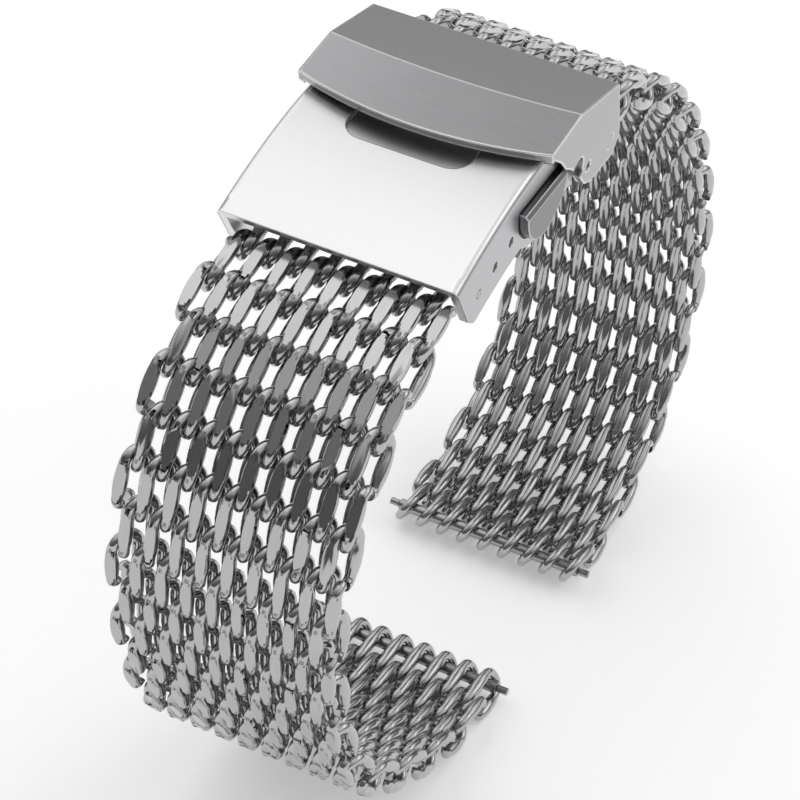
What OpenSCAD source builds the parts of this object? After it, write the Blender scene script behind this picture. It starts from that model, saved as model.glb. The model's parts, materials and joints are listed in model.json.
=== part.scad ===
// Interlinked steel mesh watch band with a folding clasp, two push buttons and a safety flap.
// X runs across the band, Y along it, and Z is up. The closed band stands on its lowest rows.

/* [Mesh] */
// Diameter of the drawn wire
wire_d = 1.0; // [0.9:0.02:1.04]
// Pitch of the coils across the band
coil_pitch = 2.47; // [2.4:0.01:2.55]
// Pitch of the rows along the band
row_pitch = 4.2; // [4.1:0.02:4.4]
// Height of a strand above the middle of the band
strand_rise = 1.25; // [1.22:0.01:1.3]
// Lengthwise play between two hooked rows
row_play = 0.7; // [0.6:0.02:0.8]
// Depth that the outer face is ground to
ground = 0.38; // [0.2:0.02:0.44]
// Radius of the hook at a cut wire end
hook_r = 0.75; // [0.6:0.05:0.85]
// Coils in a full row
full_coils = 9; // [7:1:9]
// Coils in the row that lies inside the cover
narrow_coils = 8; // [5:1:8]

/* [Front strap] */
// Tilt of the row on the adjusting bar
front_start = -6; // [-10:1:0]
// Rows and the degrees that each turns, from the clasp to the lug end
front_turns = [[1, 11], [3, 10], [4, 11.5], [4, 5], [4, 7], [4, 3], [3, 8]];

/* [Back strap] */
// Tilt of the row on the flap pin
back_start = -8; // [-12:1:-4]
// Rows and the degrees that each turns, from the clasp to the lug end
back_turns = [[2, -13.5], [3, -5], [4, -3.5], [4, -4.5], [4, -8], [4, -11.5], [4, -11.5]];

/* [Clasp] */
// Radius of the clasp's long curve, on the cover's top
arc_r = 58; // [50:1:80]
// Distance from the cover's near edge to the crest of the curve
crest = 8; // [4:1:12]
// Width of the cover
cover_w = 22.8; // [22.4:0.1:24]
// Thickness of the cover's sheet
cover_t = 0.9; // [0.7:0.05:1.1]
// Length of the cover's top along its curve
cover_len = 19.6; // [19:0.1:20]
// Depth of the cover's side walls
skirt_depth = 7; // [6.6:0.1:7.4]
// Radius of the bend between the top and the side walls
cover_edge_r = 0.7; // [0.3:0.1:0.85]
// Diameter of the adjusting holes
hole_d = 1.0; // [0.9:0.05:1.2]
// Distance from the near edge to the first adjusting hole
first_hole = 3.6; // [3.4:0.1:3.7]
// Pitch of the adjusting holes
hole_pitch = 3.5; // [2.6:0.1:3.5]
// Number of adjusting holes in each side wall
hole_count = 3; // [1:1:3]
// Depth of the adjusting holes below the top
hole_depth = 4.4; // [4.2:0.1:4.6]

/* [Blades] */
// Thickness of the folding blades
blade_t = 0.8; // [0.6:0.05:0.9]
// Width of the folding blades
blade_w = 18.4; // [14:0.2:18.8]
// Diameter of the fold pins
fold_pin_d = 1.1; // [0.9:0.05:1.3]
// Outer diameter of the blades' knuckles
knuckle_d = 2.2; // [2:0.05:2.4]
// Place of the pin that joins the cover and the inner blade
cover_pin_at = 23.9; // [23.7:0.1:24.2]
// Depth of that pin below the top
cover_pin_depth = 4.8; // [4.7:0.05:4.9]
// Place of the pin that joins the two blades
blade_pin_at = 8.7; // [8.4:0.1:9.2]
// Depth of that pin below the top
blade_pin_depth = 5.95; // [5.9:0.05:6]
// Place of the pin that carries the flap and the back strap
flap_pin_at = 32.7; // [32.3:0.1:33.2]
// Depth of that pin below the top
flap_pin_depth = 5.1; // [5:0.05:5.3]
// Diameter of the pin that carries the flap and the back strap
flap_pin_d = 1.3; // [1.1:0.05:1.4]

/* [Safety flap] */
// Thickness of the flap's top
flap_t = 0.8; // [0.6:0.05:0.9]
// Thickness of the flap's side walls
flap_wall = 0.75; // [0.6:0.05:0.9]
// Sideways gap between the cover and the flap
flap_gap = 0.15; // [0.1:0.05:0.3]
// Radius of the lip's curve, seen from above
lip_r = 32.7; // [25:0.5:60]
// Radius of the crown across the flap's near face
crown_r = 190; // [120:10:300]

/* [Buttons] */
// Place of the middle of a push button
button_at = 16.7; // [16.4:0.1:17]
// Radius of the button's half-round cap
button_r = 4.2; // [3.6:0.1:4.4]
// Depth of the cap's straight edge below the top
button_depth = 3.0; // [2.8:0.1:3.2]
// Height of the cap over the side wall
button_proud = 0.9; // [0.6:0.1:1.1]
// Travel of a button when pressed
button_travel = 0.8; // [0.6:0.05:0.8]
// Tilt of the cap against the cover's curve
button_tilt = 3; // [0:1:6]
// Play round a button in its window
button_play = 0.2; // [0.15:0.05:0.3]
// Depth of the button slides below the top
slide_top = 3.1; // [3.1:0.05:3.3]
// Thickness of the button slides
slide_t = 1.1; // [0.9:0.05:1.2]
// Width of the button slides along the band
slide_len = 4.6; // [4:0.1:5]
// Width of the catch along the band
catch_len = 2.4; // [2:0.1:2.6]

/* [Finger recess] */
// Width of the recess across the cover
recess_w = 12; // [8:0.5:14]
// Length of the recess along the cover
recess_len = 6; // [5:0.2:6.4]
// Place of the middle of the recess
recess_at = 15.2; // [15:0.1:15.4]
// Depth that the recess is pressed
recess_drop = 0.5; // [0.3:0.05:0.6]

/* [Spring bars] */
// Distance between the watch's lugs
lug_width = 22; // [21.8:0.1:23]
// Diameter of a spring bar's barrel
barrel_d = 1.3; // [1.2:0.02:1.36]
// Diameter of a spring bar's tips
tip_d = 0.8; // [0.7:0.05:0.85]
// Length that a tip stands out of its barrel
tip_out = 1.2; // [1:0.1:1.4]
// Length of a tip inside its barrel
tip_in = 2.4; // [2:0.1:3]
// Diameter of the neck between a tip's pivot and its slider
neck_d = 0.46; // [0.4:0.02:0.5]

/* [Stand] */
// Tilt of the clasp when the closed band stands
stand_tilt = 16.2; // [15:0.1:18]
// Place of the clasp along Y
stand_y = -30.7; // [-32:0.1:-28]
// Height of the clasp above the surface
stand_z = 67.55; // [66:0.01:70]

/* [Hidden] */
$fn = 48;
running = 0.1;

// Mesh sizes
bend_r = norm([coil_pitch / 4, strand_rise]);
bend_tilt = atan2(strand_rise, coil_pitch / 4);
straight = round(100 * ((row_pitch + wire_d + row_play) / 2 - bend_r)) / 100;
// The drawn wire thins a little where it is bent, and a bend runs into the strands' ends
bend_d = wire_d - 0.02;
seat_angle = 1.5;
hook_angle = 95;
half_thick = strand_rise + wire_d / 2;
pocket = straight + bend_r - wire_d / 2 - barrel_d / 2 - running;
flap_pocket = straight + bend_r - wire_d / 2 - flap_pin_d / 2 - running;
narrow_half = (narrow_coils - 0.5) * coil_pitch / 2 + wire_d / 2;

// Clasp sizes
arc_y = crest;
arc_z = 0.55 - arc_r;
inner_half = cover_w / 2 - cover_t;
near_lean = 1.5;
far_lean = 0.94;
corner_r = 1.2;
rim_w = 0.9;
pin_boss_r = 1.7;
recess_corner = 2;
recess_wall = 0.6;
cover_pin = at_curve(cover_pin_at, cover_pin_depth);
adjust_bar = at_curve(first_hole, hole_depth);

// Blade sizes
knuckle_seat = 0.12;
blade_top = blade_pin_depth - knuckle_d / 2 + knuckle_seat;
outer_top = blade_pin_depth + knuckle_d / 2 - blade_t - knuckle_seat;
blade_pin = at_curve(blade_pin_at, blade_pin_depth);
flap_pin = at_curve(flap_pin_at, flap_pin_depth);
knuckle_half = 5.5;
knuckle_room = 1.6;
blade_end = 30.6;
ear_from = 27.2;
ear_t = 0.9;
ear_r = 1.8;

// Button and catch sizes
cap_in = cover_w / 2 - 0.5;
cap_out = cover_w / 2 + button_proud;
cap_bevel = 0.5;
guide_len = slide_len + 1.4;
guide_bottom = slide_top + slide_t + 0.4;
slide_in = 1.6;
slide_seat = 0.4;
window_in = 3.95;
window_out = 6.7;
hook_top = 2.2;
hook_in = 4;
post_t = 1;
post_out = 5.6;
catch_t = 0.5;
catch_base = catch_len + 0.4;
window_room = 1.6;

// Flap sizes
flap_half = cover_w / 2 + flap_gap + flap_wall;
lip_y = 16.9;
lip_top = 0.95;
lip_bulge = lip_r - sqrt(lip_r * lip_r - flap_half * flap_half);
crown_rise = crown_r - sqrt(crown_r * crown_r - flap_half * flap_half);
ridge = [23.1, 0.3];
far_edge = [31.2, -3.3];
near_slope = atan2(ridge[1] - lip_top, ridge[0] - lip_y);
far_slope = atan2(far_edge[1] - ridge[1], far_edge[0] - ridge[0]);
notch_r = 1.35;
flap_boss_r = 2;
snap_hole = [24.8, -7.7];
flap_side = [[12, 4], [12, -0.05], [17.3, -0.05], [18.8, -1.8], [19.8, -3.5], [21, -4.6], [22.9, -7.4],
  [24, -9.3], [25.3, -10.2], flap_pin + [0, -flap_boss_r], flap_pin + [flap_boss_r, 0.3], far_edge + [0.2, 0],
  [31.2, 4]];

// Spring bar lengths
adjust_len = 2 * inner_half - 6 * running;
neck_out = 0.2;
neck_in = 0.4;
lug_bar_len = lug_width - 6 * running;

// A place on the clasp's side view: distance along the top and depth below it
function at_curve(along, depth) =
  let (angle = curve_angle(along))
  [arc_y + (arc_r - depth) * sin(angle), arc_z + (arc_r - depth) * cos(angle)];
function curve_angle(along) = (along - crest) / arc_r * 180 / PI;

// The straps as chains of rows: tilts from the turns, then centres from the tilts
function turns_of(groups) = [for (g = groups) for (i = [1:g[0]]) g[1]];
function sum_to(list, n) = n < 1 ? 0 : list[n - 1] + sum_to(list, n - 1);
function tilts(start, turns) = [for (i = [0:len(turns)]) start + sum_to(turns, i)];
function heading(tilt) = [cos(tilt), sin(tilt)];
function next_centre(centre, t1, t2, way) = centre + way * row_pitch / 2 * (heading(t1) + heading(t2));
function centres(first, t, way) =
  [for (i = 0, c = first; i < len(t); c = next_centre(c, t[i], t[min(i + 1, len(t) - 1)], way), i = i + 1) c];

front_tilts = tilts(front_start, turns_of(front_turns));
front_rows = centres(adjust_bar - pocket * heading(front_start), front_tilts, -1);
back_tilts = tilts(back_start, turns_of(back_turns));
back_rows = centres(flap_pin + flap_pocket * heading(back_start), back_tilts, 1);
front_end = len(front_rows) - 1;
back_end = len(back_rows) - 1;
front_lug = front_rows[front_end] - pocket * heading(front_tilts[front_end]);
back_lug = back_rows[back_end] + pocket * heading(back_tilts[back_end]);

// The closed band as it stands
module standing() {
  translate([0, stand_y, stand_z]) rotate([stand_tilt, 0, 0]) children();
}

// A side-view outline given the stated width across the band
module across(width) {
  rotate([90, 0, 90]) linear_extrude(width, center = true) children();
}

module rod(place, d, length) {
  translate([0, place[0], place[1]]) rotate([0, 90, 0]) cylinder(d = d, h = length, center = true);
}

module on_curve(along, depth) {
  place = at_curve(along, depth);
  translate([0, place[0], place[1]]) rotate([-curve_angle(along), 0, 0]) children();
}

// A cross-section carried along the clasp's curve: x across the band, y up from the top's level
module swept(from, to) {
  translate([0, arc_y, arc_z]) rotate([90, 0, 90]) rotate([0, 0, 90 - curve_angle(to)])
    rotate_extrude(angle = curve_angle(to) - curve_angle(from))
      translate([arc_r, 0]) rotate([0, 0, -90]) children();
}

module bent_sheet(from, to, depth, thickness, width) {
  swept(from, to) translate([-width / 2, -depth - thickness]) square([width, thickness]);
}

// Mesh rows: two layers of straight strands, joined at their ends by slanted half-round bends
module strand(x, z) {
  translate([x, 0, z]) rotate([90, 0, 0]) cylinder(d = wire_d, h = 2 * straight, center = true);
}

module tube_arc(r, angle) {
  rotate([0, 0, -seat_angle]) rotate_extrude(angle = angle + 2 * seat_angle) translate([r, 0]) circle(d = bend_d);
}

module bend(x, tilt, end) {
  translate([x, end * straight, 0]) rotate([0, tilt, 0]) mirror([0, end < 0 ? 1 : 0, 0]) tube_arc(bend_r, 180);
}

module hook(x, z) {
  translate([x, straight, z]) mirror([0, 0, z > 0 ? 1 : 0]) translate([0, 0, hook_r])
    rotate([0, 90, 0]) tube_arc(hook_r, hook_angle);
}

module wire_row(coils, hooked) {
  first = -(coils - 0.5) * coil_pitch / 2;
  difference() {
    union() {
      for (k = [0:coils - 1]) {
        strand(first + k * coil_pitch, -strand_rise);
        bend(first + (k + 0.25) * coil_pitch, -bend_tilt, -1);
        strand(first + (k + 0.5) * coil_pitch, strand_rise);
        if (k < coils - 1) bend(first + (k + 0.75) * coil_pitch, bend_tilt, 1);
      }
      if (hooked) {
        hook(first, -strand_rise);
        hook(-first, strand_rise);
      }
    }
    translate([0, 0, 2 * half_thick - ground]) cube([2 * cover_w, 4 * row_pitch, 2 * half_thick], center = true);
  }
}

// Each second row is turned end for end, so that every bend hooks the one that it meets
module placed_row(centre, tilt, coils, turned, hooked) {
  translate([0, centre[0], centre[1]]) rotate([tilt, 0, 0]) rotate([0, 0, turned ? 180 : 0])
    wire_row(coils, hooked);
}

module front_mesh(number) {
  color("silver") standing() for (i = [2 * number - 2, 2 * number - 1])
    placed_row(front_rows[i], front_tilts[i], i == 0 ? narrow_coils : full_coils, i > 0 && i % 2 == 0, i > 0);
}

module back_mesh(number) {
  color("silver") standing() for (i = [2 * number - 2, 2 * number - 1])
    placed_row(back_rows[i], back_tilts[i], i == 0 ? narrow_coils : full_coils, i == 0 || i % 2 == 1, i > 0);
}

// Cover: a bent channel with adjusting holes, button windows and a pressed finger recess
module cover_section() {
  difference() {
    translate([-cover_w / 2, -skirt_depth]) square([cover_w, skirt_depth]);
    for (side = [-1, 1]) translate([side * (cover_w / 2 - cover_edge_r), -cover_edge_r]) difference() {
      translate([side < 0 ? -cover_edge_r : 0, 0]) square(cover_edge_r);
      circle(r = cover_edge_r);
    }
  }
}

// Half-round outline of a button cap, grown all round by the given amount
module cap_outline(grow) {
  intersection() {
    circle(r = button_r + grow);
    translate([-2 * button_r, -2 * button_r]) square([4 * button_r, 2 * button_r + grow]);
  }
}

module at_button() {
  on_curve(button_at, button_depth) rotate([-button_tilt, 0, 0]) children();
}

module cover_ends() {
  across(2 * cover_w) {
    polygon([at_curve(-2, -2), at_curve(-near_lean / 3, -2), at_curve(near_lean, skirt_depth), at_curve(-2, 9)]);
    polygon([at_curve(cover_len - 2 * far_lean, -2), at_curve(cover_len + 12, -2),
      at_curve(cover_len + 12, 9), at_curve(cover_len + 9 * far_lean, 9)]);
  }
  on_curve(near_lean, skirt_depth) across(2 * cover_w) difference() {
    translate([-1, -1]) square(1 + corner_r);
    translate([corner_r, corner_r]) circle(r = corner_r);
  }
}

module recess_outline(grow) {
  w = recess_w / 2 - recess_corner;
  l = recess_len / 2 - recess_corner;
  for (x = [-w, w], y = [-l, l]) translate([x, y]) circle(r = recess_corner + grow);
  square([2 * w, recess_len + 2 * grow], center = true);
  square([recess_w + 2 * grow, 2 * l], center = true);
}

module recess_block(grow, top, bottom) {
  on_curve(recess_at, bottom) linear_extrude(bottom - top) recess_outline(grow);
}

module clasp_cover() {
  color("gainsboro") standing() difference() {
    union() {
      difference() {
        union() {
          difference() {
            swept(-1, cover_len + 8) cover_section();
            cover_ends();
          }
          at_button() across(cover_w) cap_outline(button_play + rim_w);
          rod(cover_pin, 2 * pin_boss_r, cover_w);
        }
        swept(-2, cover_len + 9) translate([-inner_half, -2 * skirt_depth])
          square([2 * inner_half, 2 * skirt_depth - cover_t]);
      }
      recess_block(recess_wall, cover_t / 2, cover_t + recess_drop);
    }
    recess_block(0, -1, recess_drop);
    for (i = [0:hole_count - 1]) rod(at_curve(first_hole + i * hole_pitch, hole_depth), hole_d, 2 * cover_w);
    at_button() across(2 * cover_w) cap_outline(button_play);
    rod(cover_pin, fold_pin_d, 2 * cover_w);
  }
}

// Guide under the cover that the two button slides run in
module button_guide() {
  color("darkgray") standing() difference() {
    bent_sheet(button_at - guide_len / 2, button_at + guide_len / 2, cover_t, guide_bottom - cover_t,
      2 * (cap_in - button_travel - running));
    on_curve(button_at, 0) {
      box_between(2 * cover_w, slide_len + 2 * running, slide_top - running, slide_top + slide_t + running);
      box_between(2 * window_out + 1, slide_len + 2 * running, hook_top - 3 * running, skirt_depth);
    }
    on_curve(recess_at, 0)
      box_between(recess_w + 2 * recess_wall + 0.4, 2 * guide_len, -1, cover_t + recess_drop + running);
  }
}

// A box on the clasp's curve: width across, length along, between two depths
module box_between(width, length, top, bottom) {
  translate([0, 0, -(top + bottom) / 2]) cube([width, length, bottom - top], center = true);
}

// Boxes that trim a sheet to the stated half width over a stated length
module beside(half, length) {
  for (side = [-1, 1]) translate([side * (half + cover_w / 2), 0, 0])
    cube([cover_w, length, 6 * blade_t], center = true);
}

// Push button: a half-round cap outside and a flat slide inside, with a window for the catch
module button(side) {
  color("gray") standing() mirror([side < 0 ? 1 : 0, 0, 0]) {
    difference() {
      at_button() translate([cap_in, 0, 0]) rotate([90, 0, 90]) linear_extrude(cap_out - cap_in) cap_outline(0);
      at_button() translate([cap_out, 0, 0]) rotate([0, 45, 0]) cube([cap_bevel, 4 * button_r, cap_bevel], center = true);
    }
    on_curve(button_at, 0) difference() {
      translate([slide_in, -slide_len / 2, -slide_top - slide_t])
        cube([cap_in + slide_seat - slide_in, slide_len, slide_t]);
      translate([window_in, -catch_len / 2 - 3 * running, -skirt_depth])
        cube([window_out - window_in, catch_len + 6 * running, skirt_depth]);
    }
  }
}

// Catch on the outer blade: two posts that stand in the slides' windows, with hooked heads
module catch_lug() {
  color("gray") standing() {
    bent_sheet(button_at - catch_base / 2, button_at + catch_base / 2, outer_top - catch_t, catch_t,
      2 * post_out + 3 * running);
    for (side = [-1, 1]) mirror([side < 0 ? 1 : 0, 0, 0]) on_curve(button_at, 0) {
      translate([post_out - post_t, -catch_len / 2, -outer_top + catch_t / 2])
        cube([post_t, catch_len, outer_top - catch_t / 2 - hook_top]);
      translate([hook_in, -catch_len / 2, -slide_top + 2 * running])
        cube([post_out - hook_in - post_t / 2, catch_len, slide_top - 2 * running - hook_top]);
    }
  }
}

module cover_pin() {
  color("dimgray") standing() rod(cover_pin, fold_pin_d, cover_w);
}

// Inner blade: hangs from the cover's pin and carries one knuckle of the fold
module inner_blade() {
  color("silver") standing() difference() {
    union() {
      difference() {
        bent_sheet(blade_pin_at, cover_pin_at, blade_top, blade_t, blade_w);
        on_curve(blade_pin_at, blade_top) beside(knuckle_half, 2 * knuckle_room);
      }
      rod(cover_pin, knuckle_d, 2 * (inner_half - 2 * running));
      rod(blade_pin, knuckle_d, 2 * knuckle_half);
    }
    on_curve(button_at, blade_top) translate([0, window_room / 4, 0])
      cube([2 * post_out + window_room, catch_len + window_room, 4 * blade_t], center = true);
    rod(cover_pin, fold_pin_d + running, 2 * cover_w);
    rod(blade_pin, fold_pin_d + running, 2 * cover_w);
  }
}

module blade_pin() {
  color("dimgray") standing() rod(blade_pin, fold_pin_d, blade_w);
}

// Outer blade: lies nearest the wrist and ends in two ears for the flap pin
module outer_blade() {
  ear_in = narrow_half + 0.25;
  color("silver") standing() difference() {
    union() {
      difference() {
        bent_sheet(blade_pin_at, blade_end, outer_top, blade_t, 2 * (ear_in + ear_t) - running);
        on_curve((blade_pin_at + ear_from) / 2, outer_top) beside(blade_w / 2, ear_from - blade_pin_at);
      }
      rod(blade_pin, knuckle_d, blade_w);
      for (side = [-1, 1]) mirror([side < 0 ? 1 : 0, 0, 0]) translate([ear_in + ear_t / 2, 0, 0]) {
        across(ear_t) polygon([at_curve(ear_from + ear_r, outer_top + blade_t / 2), flap_pin + [-0.6, ear_r],
          flap_pin + [0.6, -ear_r], at_curve(blade_end - blade_t / 2, outer_top + 0.7 * blade_t)]);
        rod(flap_pin, 2 * ear_r, ear_t);
      }
    }
    rod(blade_pin, 2 * knuckle_d + 0.4, 2 * knuckle_half + 0.4);
    rod(blade_pin, fold_pin_d, 2 * cover_w);
    rod(flap_pin, flap_pin_d, 2 * cover_w);
  }
}

module flap_pin() {
  color("dimgray") standing() rod(flap_pin, flap_pin_d, 2 * flap_half);
}

// Safety flap: a crowned near face and a sloping far face that meet in a curved ridge
module flap_form(drop, half) {
  intersection() {
    translate([0, ridge[0], ridge[1] - drop]) rotate([near_slope, 0, 0])
      translate([0, 0, crown_rise - crown_r]) rotate([90, 0, 0])
        cylinder(r = crown_r, h = 4 * cover_w, center = true, $fn = 360);
    translate([0, ridge[0], ridge[1] - drop]) rotate([far_slope, 0, 0])
      translate([0, 0, -2 * cover_w]) cube([4 * cover_w, 8 * cover_w, 4 * cover_w], center = true);
    cube([2 * half, 8 * cover_w, 8 * cover_w], center = true);
  }
}

module safety_flap() {
  color("gray") standing() difference() {
    intersection() {
      difference() {
        flap_form(0, flap_half);
        flap_form(flap_t, flap_half - flap_wall);
      }
      across(4 * cover_w) union() {
        difference() {
          polygon(flap_side);
          translate(cover_pin) circle(r = notch_r);
        }
        translate(flap_pin) circle(r = flap_boss_r);
      }
      translate([0, lip_y - lip_bulge + lip_r, -cover_w]) cylinder(r = lip_r, h = 2 * cover_w, $fn = 120);
    }
    rod(flap_pin, flap_pin_d + running, 4 * cover_w);
    rod(snap_hole, hole_d, 4 * cover_w);
  }
}

// Spring bars: a tube with a sliding tip in each end. A tip is a pivot, a neck and a slider
module bar(place, length) {
  color("silver") standing() difference() {
    rod(place, barrel_d, length);
    rod(place, tip_d + running, 2 * length);
  }
}

module tip(place, length, side) {
  color("gray") standing() mirror([side < 0 ? 1 : 0, 0, 0]) translate([length / 2, 0, 0]) {
    translate([(tip_out + neck_out) / 2, 0, 0]) rod(place, tip_d, tip_out - neck_out);
    translate([-(tip_in + neck_in) / 2, 0, 0]) rod(place, tip_d, tip_in - neck_in);
    rod(place, neck_d, 2 * (neck_in + neck_out));
  }
}

clasp_cover();
button_guide();
button(-1);  // button_left
button(1);  // button_right
cover_pin();
inner_blade();
blade_pin();
outer_blade();
catch_lug();
flap_pin();
safety_flap();
bar(adjust_bar, adjust_len);
tip(adjust_bar, adjust_len, -1);  // adjust_tip_left
tip(adjust_bar, adjust_len, 1);  // adjust_tip_right
bar(front_lug, lug_bar_len);  // front_lug_bar
tip(front_lug, lug_bar_len, -1);  // front_lug_tip_left
tip(front_lug, lug_bar_len, 1);  // front_lug_tip_right
bar(back_lug, lug_bar_len);  // back_lug_bar
tip(back_lug, lug_bar_len, -1);  // back_lug_tip_left
tip(back_lug, lug_bar_len, 1);  // back_lug_tip_right
front_mesh(1);  // front_mesh_01
front_mesh(2);  // front_mesh_02
front_mesh(3);  // front_mesh_03
front_mesh(4);  // front_mesh_04
front_mesh(5);  // front_mesh_05
front_mesh(6);  // front_mesh_06
front_mesh(7);  // front_mesh_07
front_mesh(8);  // front_mesh_08
front_mesh(9);  // front_mesh_09
front_mesh(10);  // front_mesh_10
front_mesh(11);  // front_mesh_11
front_mesh(12);  // front_mesh_12
back_mesh(1);  // back_mesh_01
back_mesh(2);  // back_mesh_02
back_mesh(3);  // back_mesh_03
back_mesh(4);  // back_mesh_04
back_mesh(5);  // back_mesh_05
back_mesh(6);  // back_mesh_06
back_mesh(7);  // back_mesh_07
back_mesh(8);  // back_mesh_08
back_mesh(9);  // back_mesh_09
back_mesh(10);  // back_mesh_10
back_mesh(11);  // back_mesh_11
back_mesh(12);  // back_mesh_12
back_mesh(13);  // back_mesh_13
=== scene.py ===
"""Dresses the interlinked mesh watch band with its steel finishes and sets it in a small photo studio."""

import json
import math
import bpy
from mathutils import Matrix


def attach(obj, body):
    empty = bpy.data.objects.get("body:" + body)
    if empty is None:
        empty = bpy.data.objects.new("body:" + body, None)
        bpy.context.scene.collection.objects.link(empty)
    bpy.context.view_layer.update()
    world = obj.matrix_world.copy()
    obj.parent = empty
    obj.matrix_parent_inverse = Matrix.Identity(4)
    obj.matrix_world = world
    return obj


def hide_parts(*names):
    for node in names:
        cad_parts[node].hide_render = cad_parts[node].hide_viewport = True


bl_info = {
    "name": "Mesh Watch Band",
    "version": (1, 0, 0),
    "blender": (4, 5, 0),
    "location": "3D View > Sidebar > Watch Band",
    "description": "Steel finishes, wire rows and studio for an interlinked mesh watch band",
    "category": "Object",
}

from collections import namedtuple

import bpy
from bpy.props import FloatProperty, FloatVectorProperty, PointerProperty
from mathutils import Matrix, Vector

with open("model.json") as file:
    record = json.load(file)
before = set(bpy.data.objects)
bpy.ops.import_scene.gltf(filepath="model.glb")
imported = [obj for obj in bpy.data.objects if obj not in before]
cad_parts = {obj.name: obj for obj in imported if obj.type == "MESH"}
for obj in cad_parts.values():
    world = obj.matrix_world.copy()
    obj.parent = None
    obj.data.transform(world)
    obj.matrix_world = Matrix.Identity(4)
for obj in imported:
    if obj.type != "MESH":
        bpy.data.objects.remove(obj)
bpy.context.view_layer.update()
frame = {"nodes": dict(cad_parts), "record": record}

# How the closed band stands on its curve: a lean in degrees, and the place of the clasp's origin
STAND_TILT = 16.2
STAND_PLACE = (0, -0.0307, 0.06755)

# Rows of the straps, from the clasp to the lug end: the first row's middle and tilt in the clasp's side view,
# then counts of rows with the degrees that each of them turns against the one before
ROW_PITCH = 0.0042
FRONT_START = ((0.0022428, -0.0038260), -6)
FRONT_TURNS = ((1, 11), (3, 10), (4, 11.5), (4, 5), (4, 7), (4, 3), (3, 8))
BACK_START = ((0.0315409, -0.0095121), -8)
BACK_TURNS = ((2, -13.5), (3, -5), (4, -3.5), (4, -4.5), (4, -8), (4, -11.5), (4, -11.5))
FULL_COILS = 9
NARROW_COILS = 8
ROWS_PER_NODE = 2

# Drawing of the wire: degrees that an end hook turns through, steps of the curves, sides of the round wire,
# how full a swollen strand is, how near two points merge, how near the grinding cut a point stays as it is,
# and the angle from which an edge stays sharp
HOOK_TURN = 95
HOOK_STEPS = 7
BEND_STEPS = 14
STRAND_STEPS = 6
WIRE_SIDES = 20
SWELL_FULLNESS = 0.7
MERGE_DISTANCE = 1e-7
CUT_SLACK = 0.0001
CREASE_ANGLE = 28

# Grain of each finish: how much the noise changes along each axis, how fine it is, how deep its relief is,
# what share of the light colour its dark parts have, and how far its roughness spreads
Grain = namedtuple("Grain", "stretch scale depth shade spread")
COVER_GRAIN = Grain(stretch=(1, 0.03, 0.03), scale=9000.0, depth=0.00001, shade=0.86, spread=0.14)
FLAP_GRAIN = Grain(stretch=(0.03, 1, 1), scale=9000.0, depth=0.00001, shade=0.84, spread=0.12)
BLADE_GRAIN = Grain(stretch=(1, 0.03, 0.03), scale=7000.0, depth=0.00001, shade=0.8, spread=0.1)
BUTTON_GRAIN = Grain(stretch=(1, 1, 0.05), scale=7000.0, depth=0.00001, shade=0.7, spread=0.1)
PIN_GRAIN = Grain(stretch=(1, 0.1, 0.1), scale=5000.0, depth=0.000005, shade=0.75, spread=0.1)
WIRE_GRAIN = Grain(stretch=(1, 0.08, 0.08), scale=6000.0, depth=0.000004, shade=0.8, spread=0.1)
FINE_SHARE = 0.8
FINE_DETAIL = 5.0
CLOUD_SCALE = 140.0
CLOUD_DETAIL = 2.0
NOISE_ROUGHNESS = 0.6
RELIEF_STRENGTH = 0.35
LEAST_ROUGHNESS = 0.03

# Softened edges: the radius seen on each kind of edge, and the painted highlight laid on them with how glossy
# they are
SOFT_EDGE = 0.00018
SOFT_RIDGE = 0.0003
SOFT_SAMPLES = 8
RIM_PAINTED_HIGHLIGHT = (0.97, 0.97, 0.97)
RIM_SHARPNESS = 90.0
PAINTED_HIGHLIGHT_STRENGTH = 0.5
RIM_GLOSS = 0.5

# Painted shade: the cover's side walls are darker than its top, from just inside their outer face
COVER_SIDE = 0.0111
SIDE_SHADE = (0.62, 0.62, 0.63)
SIDE_SHARPNESS = 4000.0

# Studio: a wide floor, just under the lowest row
FLOOR_SIZE = 6.0
FLOOR_HEIGHT = -0.0004
WHITE = (1, 1, 1, 1)

# Grey of the room round the band, from straight down to straight up, behind the band and on the viewer's
# side, and how fast the one passes into the other
FAR_GREYS = (
    (0.0, 0.85), (0.46, 0.7), (0.5, 0.1), (0.58, 0.2), (0.65, 0.95), (0.74, 0.85),
    (0.785, 1.5), (0.825, 1.5), (0.87, 0.6), (0.92, 0.78), (0.97, 1.05), (1.0, 1.1))
NEAR_GREYS = (
    (0.0, 0.85), (0.44, 0.65), (0.5, 0.12), (0.62, 0.15), (0.8, 0.25), (0.93, 0.75), (1.0, 1.1))
NEAR_GROWTH = 1.4

# Lamps: place and size, and the point that they are turned to
KEY_PLACE = (-0.24, 0.1, 0.66)
KEY_SIZE = 0.5
FILL_PLACE = (0.45, 0.35, 0.5)
FILL_SIZE = 0.3
LAMP_TARGET = (0.0, 0.0, 0.045)

# Camera: its directions in the clasp's own frame, and its sensor and near limit
CAMERA_RIGHT = (0.8964, 0.4428, -0.0209)
CAMERA_UP = (-0.3306, 0.6992, 0.6340)
CAMERA_BACK = (0.2954, -0.5614, 0.7731)
CAMERA_SENSOR = 36.0
CAMERA_NEAR = 0.005


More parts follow.
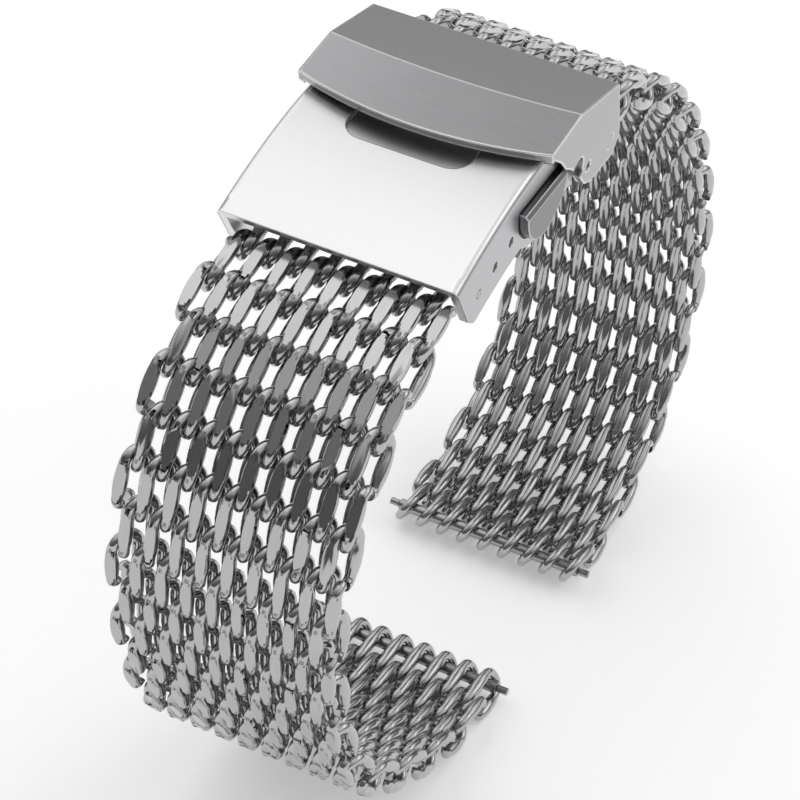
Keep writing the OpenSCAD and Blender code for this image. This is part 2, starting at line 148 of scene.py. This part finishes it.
class Value:
    """A shader socket that Python arithmetic joins to others with Math nodes."""

    def __init__(self, board, socket):
        self.board = board
        self.socket = socket

    def _math(self, operation, *values):
        return self.board.node("ShaderNodeMath", {"operation": operation}, dict(enumerate(values))).out()

    def __add__(self, other):
        return self._math("ADD", self, other)

    def __radd__(self, other):
        return self._math("ADD", other, self)

    def __sub__(self, other):
        return self._math("SUBTRACT", self, other)

    def __rsub__(self, other):
        return self._math("SUBTRACT", other, self)

    def __mul__(self, other):
        return self._math("MULTIPLY", self, other)

    def __rmul__(self, other):
        return self._math("MULTIPLY", other, self)

    def absolute(self):
        return self._math("ABSOLUTE", self)

    def clamp(self, low=0.0, high=1.0):
        return self._math("MINIMUM", self._math("MAXIMUM", self, low), high)


class Placed:
    """A node on a board, with its outputs as values."""

    def __init__(self, board, node):
        self.board = board
        self.node = node

    def out(self, name=0):
        return Value(self.board, self.node.outputs[name])


class Board:
    """The node tree of one material or of the world."""

    def __init__(self, tree):
        self.tree = tree
        tree.nodes.clear()

    def node(self, kind, settings=None, inputs=None):
        """Adds a node: its settings first, then the values or links of its sockets."""
        made = self.tree.nodes.new(kind)
        for key, value in (settings or {}).items():
            if key == "stops":
                ramp = made.color_ramp
                while len(ramp.elements) < len(value):
                    ramp.elements.new(0.5)
                for element, (position, colour) in zip(ramp.elements, value):
                    element.position = position
                    element.color = colour
            else:
                setattr(made, key, value)
        for key, value in (inputs or {}).items():
            if isinstance(value, Value):
                self.tree.links.new(value.socket, made.inputs[key])
            elif value is not None:
                made.inputs[key].default_value = value
        return Placed(self, made)

    def place(self):
        """The point of the piece that is being coloured."""
        return self.node("ShaderNodeTexCoord").out("Object")

    def noise(self, stretch, scale, detail):
        """Noise on the piece's own place, drawn out along the axes with a small stretch."""
        drawn = self.node("ShaderNodeMapping", None, {"Vector": self.place(), "Scale": stretch}).out()
        fineness = {"Vector": drawn, "Scale": scale, "Detail": detail, "Roughness": NOISE_ROUGHNESS}
        return self.node("ShaderNodeTexNoise", None, fineness).out(0)

    def past(self, half_width):
        """One where the piece reaches beyond a half width across the band, and nought inside it."""
        x = self.node("ShaderNodeSeparateXYZ", None, {0: self.place()}).out("X")
        return ((x.absolute() - half_width) * SIDE_SHARPNESS).clamp()

    def mix(self, factor, first, second, blend="MIX"):
        """A colour between two, or the first one blended with the second, by a factor."""
        inputs = {0: factor}
        for socket, colour in ((6, first), (7, second)):
            inputs[socket] = colour if isinstance(colour, Value) else tuple(colour) + (1.0,)
        return self.node("ShaderNodeMix", {"data_type": "RGBA", "blend_type": blend}, inputs).out(2)

    def greys(self, factor, stops):
        """A grey that follows a factor through pairs of position and grey."""
        colours = [(position, (grey, grey, grey, 1)) for position, grey in stops]
        return self.node("ShaderNodeValToRGB", {"stops": colours}, {0: factor}).out()

    def end(self, kind, surface):
        """Joins the surface to the output node."""
        self.node(kind, None, {"Surface": surface})


def steel(name, light, roughness, grain, edge=0.0, side=None):
    """A steel finish whose grain changes its colour, its gloss and its relief.

    Edges show softened by the given radius, with a painted highlight. A side value is the half width past
    which shade is painted.
    """
    material = bpy.data.materials.new(name)
    material.use_nodes = True
    board = Board(material.node_tree)
    fine = board.noise(grain.stretch, grain.scale, FINE_DETAIL)
    cloud = board.noise((1, 1, 1), CLOUD_SCALE, CLOUD_DETAIL)
    mixed = (fine * FINE_SHARE + cloud * (1 - FINE_SHARE)).clamp()
    soft = None
    if edge:
        soft = board.node("ShaderNodeBevel", {"samples": SOFT_SAMPLES}, {"Radius": edge}).out()
    relief = board.node("ShaderNodeBump", None, {
        "Strength": RELIEF_STRENGTH,
        "Distance": grain.depth,
        "Height": fine,
        "Normal": soft,
    }).out()
    colour = board.mix(mixed, [part * grain.shade for part in light], light)
    gloss = (mixed * grain.spread + (roughness - grain.spread / 2)).clamp(LEAST_ROUGHNESS)
    if edge:
        flat = board.node("ShaderNodeNewGeometry").out("True Normal")
        compared = board.node("ShaderNodeVectorMath", {"operation": "DOT_PRODUCT"}, {0: soft, 1: flat})
        # Painted highlight: a near white colour is mixed in where the softened normal leaves the true one,
        # and the edge is glossier
        painted_highlight = ((1 - compared.out("Value")) * RIM_SHARPNESS).clamp(high=PAINTED_HIGHLIGHT_STRENGTH)
        colour = board.mix(painted_highlight, colour, RIM_PAINTED_HIGHLIGHT)
        gloss = gloss * (1 - painted_highlight * RIM_GLOSS)
    if side:
        # Painted shade on the side walls, past the given half width across the band
        colour = board.mix(board.past(side), colour, SIDE_SHADE, "MULTIPLY")
    shader = board.node("ShaderNodeBsdfPrincipled", None, {
        "Base Color": colour,
        "Metallic": 1.0,
        "Roughness": gloss,
        "Normal": relief,
    }).out()
    board.end("ShaderNodeOutputMaterial", shader)
    return material


def dress(nodes, material):
    """Gives CAD nodes a finish."""
    for node in nodes:
        for slot in frame["nodes"][node].material_slots:
            slot.material = material


def body_with(node):
    """The body that a CAD node belongs to."""
    bodies = frame["record"]["behaviour"]["bodies"]
    return next(body for body, nodes in bodies.items() if node in nodes)


def deselect():
    """Leaves edit mode and selects nothing."""
    if bpy.context.object and bpy.context.object.mode != "OBJECT":
        bpy.ops.object.mode_set(mode="OBJECT")
    bpy.ops.object.select_all(action="DESELECT")


def heading(tilt):
    """Direction in the clasp's side view."""
    return Vector((math.cos(math.radians(tilt)), math.sin(math.radians(tilt))))


def chain(start, turns, way):
    """Middles and tilts of a strap's rows: each step is half a pitch along both neighbours' directions.

    The way is 1 for a strap that runs along its rows' direction, and -1 for one that runs against it.
    """
    middle, tilt = Vector(start[0]), start[1]
    rows = [(middle, tilt)]
    for count, turned in turns:
        for _ in range(count):
            step = heading(tilt) + heading(tilt + turned)
            middle, tilt = middle + way * ROW_PITCH / 2 * step, tilt + turned
            rows.append((middle, tilt))
    return rows


def standing():
    """Matrix from the clasp's own frame to the standing band."""
    stand = Matrix.Rotation(math.radians(STAND_TILT), 4, "X")
    stand.translation = STAND_PLACE
    return stand


def row_place(middle, tilt):
    """Matrix that takes a row drawn flat at the origin to its place in the standing band."""
    row = Matrix.Rotation(math.radians(tilt), 4, "X")
    row.translation = (0, middle.x, middle.y)
    return standing() @ row


def leaning(angle):
    """The upward direction, leaning to one side of the band."""
    return Matrix.Rotation(angle, 3, "Y") @ Vector((0, 0, 1))


def bend(centre, axis, angle, steps):
    """Draws the selected ring of wire round an axis."""
    bpy.ops.mesh.spin(steps=steps, angle=angle, center=centre, axis=axis)


def pull(start, length, swell):
    """Draws the selected ring of wire along the band, fuller towards the middle of the strand."""
    full = 1.0
    for step in range(1, STRAND_STEPS + 1):
        share = step / STRAND_STEPS
        wanted = 1.0 + swell * math.sin(math.pi * share) ** SWELL_FULLNESS
        bpy.ops.mesh.extrude_region_move(TRANSFORM_OT_translate={"value": (0, length / STRAND_STEPS, 0)})
        place = start + Vector((0, length * share, 0))
        bpy.ops.transform.resize(value=(wanted / full, 1, wanted / full), center_override=place)
        full = wanted


def draw_wire(coils, hooked, name):
    """One wire row, drawn flat at the origin: strands, slanted half-round bends, and a hook at each end."""
    sizes = bpy.context.scene.watchband_mesh
    pitch, rise, hook = sizes.coil_pitch, sizes.strand_rise, sizes.hook_radius
    reach = sizes.strand_length / 2
    swell = sizes.strand_swell / sizes.wire_width
    first = -(coils - 0.5) * pitch / 2
    slant = math.atan2(rise, pitch / 4)
    across = (1, 0, 0)
    hook_turn = math.radians(HOOK_TURN if hooked else 0)
    hook_centre = Vector((first, reach, hook - rise))
    start = hook_centre + Vector((0, hook * math.sin(hook_turn), -hook * math.cos(hook_turn)))
    deselect()
    bpy.ops.mesh.primitive_circle_add(
        vertices=WIRE_SIDES, radius=sizes.wire_width / 2, fill_type="NGON",
        location=start, rotation=(math.pi / 2 + hook_turn, 0, 0))
    wire = bpy.context.object
    wire.name = name
    bpy.ops.object.transform_apply(location=True, rotation=True, scale=True)
    bpy.ops.object.mode_set(mode="EDIT")
    bpy.ops.mesh.select_all(action="SELECT")
    if hooked:
        bend(hook_centre, across, hook_turn, HOOK_STEPS)
    for coil in range(coils):
        x = first + coil * pitch
        pull(Vector((x, reach, -rise)), -2 * reach, swell)
        bend(Vector((x + pitch / 4, -reach, 0)), leaning(-slant), -math.pi, BEND_STEPS)
        pull(Vector((x + pitch / 2, -reach, rise)), 2 * reach, swell)
        if coil < coils - 1:
            bend(Vector((x + 0.75 * pitch, reach, 0)), leaning(slant), math.pi, BEND_STEPS)
    if hooked:
        bend(Vector((-first, reach, rise - hook)), across, hook_turn, HOOK_STEPS)
    bpy.ops.mesh.select_all(action="SELECT")
    bpy.ops.mesh.remove_doubles(threshold=MERGE_DISTANCE)
    bpy.ops.mesh.normals_make_consistent(inside=False)
    grind(rise + sizes.wire_width / 2 - sizes.ground_depth)
    return wire


def grind(height):
    """Cuts the outer side of the wire away and closes it. The flats are uneven within the cut's slack."""
    bpy.ops.mesh.select_all(action="SELECT")
    bpy.ops.mesh.bisect(
        plane_co=(0, 0, height), plane_no=(0, 0, 1), use_fill=True, clear_outer=True, threshold=CUT_SLACK)
    bpy.ops.object.mode_set(mode="OBJECT")
    bpy.ops.object.shade_smooth_by_angle(angle=math.radians(CREASE_ANGLE))


def is_turned(side, index):
    """Whether a row lies end for end: each second one does, but the first two of a strap lie the same way."""
    even = index > 0 and index % 2 == 0
    return even if side == "front" else not even


def place_row(pattern, name, middle, tilt, turned):
    """A copy of the drawn row, set in the band."""
    row = pattern.copy()
    row.data = pattern.data.copy()
    row.name = row.data.name = name
    bpy.context.collection.objects.link(row)
    swap = Matrix.Rotation(math.pi, 4, "Z") if turned else Matrix.Identity(4)
    row.data.transform(row_place(middle, tilt) @ swap)
    return row


def lay_floor(stage):
    """A pale floor that glows a little where the camera or a reflection sees it."""
    deselect()
    bpy.ops.mesh.primitive_plane_add(size=FLOOR_SIZE, location=(0, 0, FLOOR_HEIGHT))
    floor = bpy.context.active_object
    floor.name = "studio_floor"
    material = bpy.data.materials.new("studio_white")
    material.use_nodes = True
    board = Board(material.node_tree)
    rays = board.node("ShaderNodeLightPath")
    seen = (rays.out("Is Camera Ray") + rays.out("Is Glossy Ray")).clamp()
    colour = tuple(stage.floor_colour) + (1.0,)
    diffuse = board.node("ShaderNodeBsdfDiffuse", None, {"Color": colour}).out()
    glow = board.node("ShaderNodeEmission", None, {"Color": WHITE, "Strength": stage.floor_glow}).out()
    lit = board.node("ShaderNodeAddShader", None, {0: diffuse, 1: glow}).out()
    both = board.node("ShaderNodeMixShader", None, {0: seen, 1: diffuse, 2: lit}).out()
    board.end("ShaderNodeOutputMaterial", both)
    floor.data.materials.append(material)


def light_room(scene, strength):
    """A room of greys for the steel to mirror, seen as plain white by the camera."""
    world = scene.world or bpy.data.worlds.new("studio")
    scene.world = world
    world.use_nodes = True
    board = Board(world.node_tree)
    direction = board.node("ShaderNodeTexCoord").out("Generated")
    parts = board.node("ShaderNodeSeparateXYZ", None, {0: direction})
    height = parts.out("Z") * 0.5 + 0.5
    near = (parts.out("Y") * -NEAR_GROWTH).clamp()
    greys = board.mix(near, board.greys(height, FAR_GREYS), board.greys(height, NEAR_GREYS))
    room = board.node("ShaderNodeBackground", None, {"Color": greys, "Strength": strength}).out()
    white = board.node("ShaderNodeBackground", None, {"Color": WHITE, "Strength": 1.0}).out()
    seen = board.node("ShaderNodeLightPath").out("Is Camera Ray")
    both = board.node("ShaderNodeMixShader", None, {0: seen, 1: room, 2: white}).out()
    board.end("ShaderNodeOutputWorld", both)


def hang_lamp(name, place, size, power):
    """A soft square lamp, turned to the band."""
    bpy.ops.object.light_add(type="AREA", location=place)
    lamp = bpy.context.active_object
    lamp.name = name
    lamp.data.size = size
    lamp.data.energy = power
    lamp.rotation_euler = (Vector(LAMP_TARGET) - Vector(place)).to_track_quat("-Z", "Y").to_euler()


def set_camera(scene, stage):
    """The camera, placed from the clasp's own frame."""
    bpy.ops.object.camera_add(location=(0, 0, 0))
    camera = bpy.context.active_object
    camera.name = "camera"
    camera.data.sensor_width = CAMERA_SENSOR
    camera.data.lens = stage.camera_lens
    camera.data.clip_start = CAMERA_NEAR
    stand = Matrix((CAMERA_RIGHT, CAMERA_UP, CAMERA_BACK)).transposed().to_4x4()
    stand.translation = stage.camera_place
    camera.matrix_world = standing() @ stand
    scene.camera = camera


class FinishSettings(bpy.types.PropertyGroup):
    """Colours and gloss of the steel finishes."""

    cover_light: FloatVectorProperty(
        name="Cover Light", description="Light colour of the cover's brushed grain",
        default=(0.81, 0.81, 0.82), subtype="COLOR", min=0.0, max=1.0)
    cover_rough: FloatProperty(
        name="Cover Roughness", description="Roughness of the cover's brushed top",
        default=0.34, min=0.0, max=1.0, subtype="FACTOR")
    flap_light: FloatVectorProperty(
        name="Flap Light", description="Light colour of the flap's satin grain",
        default=(0.385, 0.385, 0.395), subtype="COLOR", min=0.0, max=1.0)
    flap_rough: FloatProperty(
        name="Flap Roughness", description="Roughness of the safety flap",
        default=0.26, min=0.0, max=1.0, subtype="FACTOR")
    blade_light: FloatVectorProperty(
        name="Blade Light", description="Light colour of the fold's blades, the catch and the guide",
        default=(0.6, 0.6, 0.61), subtype="COLOR", min=0.0, max=1.0)
    blade_rough: FloatProperty(
        name="Blade Roughness", description="Roughness of the fold's blades, the catch and the guide",
        default=0.32, min=0.0, max=1.0, subtype="FACTOR")
    button_light: FloatVectorProperty(
        name="Button Light", description="Light colour of the push buttons",
        default=(0.2, 0.2, 0.21), subtype="COLOR", min=0.0, max=1.0)
    button_rough: FloatProperty(
        name="Button Roughness", description="Roughness of the push buttons",
        default=0.3, min=0.0, max=1.0, subtype="FACTOR")
    pin_light: FloatVectorProperty(
        name="Pin Light", description="Light colour of the pins and spring bars",
        default=(0.4, 0.4, 0.41), subtype="COLOR", min=0.0, max=1.0)
    pin_rough: FloatProperty(
        name="Pin Roughness", description="Roughness of the pins and spring bars",
        default=0.22, min=0.0, max=1.0, subtype="FACTOR")
    wire_light: FloatVectorProperty(
        name="Wire Light", description="Light colour of the mesh wire",
        default=(0.52, 0.52, 0.53), subtype="COLOR", min=0.0, max=1.0)
    wire_rough: FloatProperty(
        name="Wire Roughness", description="Roughness of the drawn wire",
        default=0.16, min=0.0, max=1.0, subtype="FACTOR")


class MeshSettings(bpy.types.PropertyGroup):
    """Sizes of the interlinked wire."""

    wire_width: FloatProperty(
        name="Wire", description="Diameter of the drawn wire",
        default=0.001, unit="LENGTH", precision=5)
    coil_pitch: FloatProperty(
        name="Coil Pitch", description="Distance between two coils across the band",
        default=0.00247, unit="LENGTH", precision=5)
    strand_rise: FloatProperty(
        name="Strand Rise", description="Height of a strand over the band's middle",
        default=0.00125, unit="LENGTH", precision=5)
    strand_length: FloatProperty(
        name="Strand", description="Length of a straight strand",
        default=0.00312, unit="LENGTH", precision=5)
    strand_swell: FloatProperty(
        name="Swell", description="Growth of the wire's diameter at the middle of a strand",
        default=0.0003, unit="LENGTH", precision=5)
    hook_radius: FloatProperty(
        name="Hook", description="Radius of the hook at a cut wire end",
        default=0.00075, unit="LENGTH", precision=5)
    ground_depth: FloatProperty(
        name="Ground", description="Depth of the ground flats under the top of the wire's bends",
        default=0.00013, unit="LENGTH", precision=5)


class StageSettings(bpy.types.PropertyGroup):
    """Studio floor, light and camera."""

    floor_colour: FloatVectorProperty(
        name="Floor", description="Colour of the studio floor",
        default=(0.93, 0.93, 0.93), subtype="COLOR", min=0.0, max=1.0)
    floor_glow: FloatProperty(
        name="Floor Glow", description="Light added to the floor where it is seen",
        default=0.28, min=0.0, max=1.0)
    room_strength: FloatProperty(
        name="Room", description="Strength of the light from the studio all round",
        default=0.9, min=0.0, max=4.0)
    key_power: FloatProperty(
        name="Key Power", description="Power of the large soft lamp",
        default=0.36, min=0.0, max=20.0, unit="POWER")
    fill_power: FloatProperty(
        name="Fill Power", description="Power of the fill lamp",
        default=0.2, min=0.0, max=20.0, unit="POWER")
    camera_place: FloatVectorProperty(
        name="Camera Place", description="Place of the camera in the clasp's own frame",
        default=(0.08216, -0.14547, 0.18360), subtype="TRANSLATION", unit="LENGTH", precision=5)
    camera_lens: FloatProperty(
        name="Lens", description="Focal length in millimetres on a 36 mm sensor",
        default=133.4, min=20.0, max=300.0)


class WATCHBAND_OT_clasp_finish(bpy.types.Operator):
    """Finish the cover, the flap, the blades, the buttons and the pins"""

    bl_idname = "watchband.clasp_finish"
    bl_label = "Finish Clasp"

    def execute(self, context):
        look = context.scene.watchband_finish
        brushed = steel(
            "cover_brushed", look.cover_light, look.cover_rough, COVER_GRAIN, SOFT_EDGE, COVER_SIDE)
        satin = steel("flap_satin", look.flap_light, look.flap_rough, FLAP_GRAIN, SOFT_RIDGE)
        plain = steel("blade_satin", look.blade_light, look.blade_rough, BLADE_GRAIN, SOFT_EDGE)
        capped = steel("button_satin", look.button_light, look.button_rough, BUTTON_GRAIN, SOFT_EDGE)
        turned = steel("pin_polished", look.pin_light, look.pin_rough, PIN_GRAIN)
        spring_bars = [node for node in frame["nodes"] if "_bar" in node or "_tip_" in node]
        dress(["clasp_cover"], brushed)
        dress(["safety_flap"], satin)
        dress(["inner_blade", "outer_blade", "catch_lug", "button_guide"], plain)
        dress(["button_left", "button_right"], capped)
        dress(["cover_pin", "blade_pin", "flap_pin"] + spring_bars, turned)
        return {"FINISHED"}


class WATCHBAND_OT_wire_rows(bpy.types.Operator):
    """Draw the wire rows of both straps, ground on their outer side"""

    bl_idname = "watchband.wire_rows"
    bl_label = "Draw Wire Rows"

    def execute(self, context):
        look = context.scene.watchband_finish
        drawn = steel("wire_drawn", look.wire_light, look.wire_rough, WIRE_GRAIN)
        full = draw_wire(FULL_COILS, True, "wire_pattern_full")
        narrow = draw_wire(NARROW_COILS, False, "wire_pattern_narrow")
        for pattern in (full, narrow):
            pattern.data.materials.append(drawn)
        straps = (("front", FRONT_START, FRONT_TURNS, -1), ("back", BACK_START, BACK_TURNS, 1))
        for side, start, turns, way in straps:
            for index, (middle, tilt) in enumerate(chain(start, turns, way)):
                pattern = full if index else narrow
                name = "%s_row_%02d" % (side, index + 1)
                row = place_row(pattern, name, middle, tilt, is_turned(side, index))
                node = "%s_mesh_%02d" % (side, index // ROWS_PER_NODE + 1)
                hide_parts(node)
                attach(row, body_with(node))
        for pattern in (full, narrow):
            bpy.data.objects.remove(pattern)
        return {"FINISHED"}


class WATCHBAND_OT_studio(bpy.types.Operator):
    """Set the floor, the lights and the camera"""

    bl_idname = "watchband.studio"
    bl_label = "Set Studio"

    def execute(self, context):
        stage = context.scene.watchband_stage
        lay_floor(stage)
        light_room(context.scene, stage.room_strength)
        hang_lamp("key_light", KEY_PLACE, KEY_SIZE, stage.key_power)
        hang_lamp("fill_light", FILL_PLACE, FILL_SIZE, stage.fill_power)
        set_camera(context.scene, stage)
        context.scene.view_settings.view_transform = "Standard"
        return {"FINISHED"}


class WATCHBAND_PT_panel(bpy.types.Panel):
    """Buttons for each part of the band's look"""

    bl_idname = "WATCHBAND_PT_panel"
    bl_label = "Watch Band"
    bl_space_type = "VIEW_3D"
    bl_region_type = "UI"
    bl_category = "Watch Band"

    def draw(self, context):
        for operator in OPERATORS:
            self.layout.operator(operator.bl_idname)


OPERATORS = (WATCHBAND_OT_clasp_finish, WATCHBAND_OT_wire_rows, WATCHBAND_OT_studio)
CLASSES = (FinishSettings, MeshSettings, StageSettings) + OPERATORS + (WATCHBAND_PT_panel,)


def register():
    for cls in CLASSES:
        bpy.utils.register_class(cls)
    bpy.types.Scene.watchband_finish = PointerProperty(type=FinishSettings)
    bpy.types.Scene.watchband_mesh = PointerProperty(type=MeshSettings)
    bpy.types.Scene.watchband_stage = PointerProperty(type=StageSettings)


def unregister():
    del bpy.types.Scene.watchband_stage
    del bpy.types.Scene.watchband_mesh
    del bpy.types.Scene.watchband_finish
    for cls in reversed(CLASSES):
        bpy.utils.unregister_class(cls)


def main():
    register()
    bpy.ops.watchband.clasp_finish()
    bpy.ops.watchband.wire_rows()
    bpy.ops.watchband.studio()


if __name__ == "__main__":
    main()
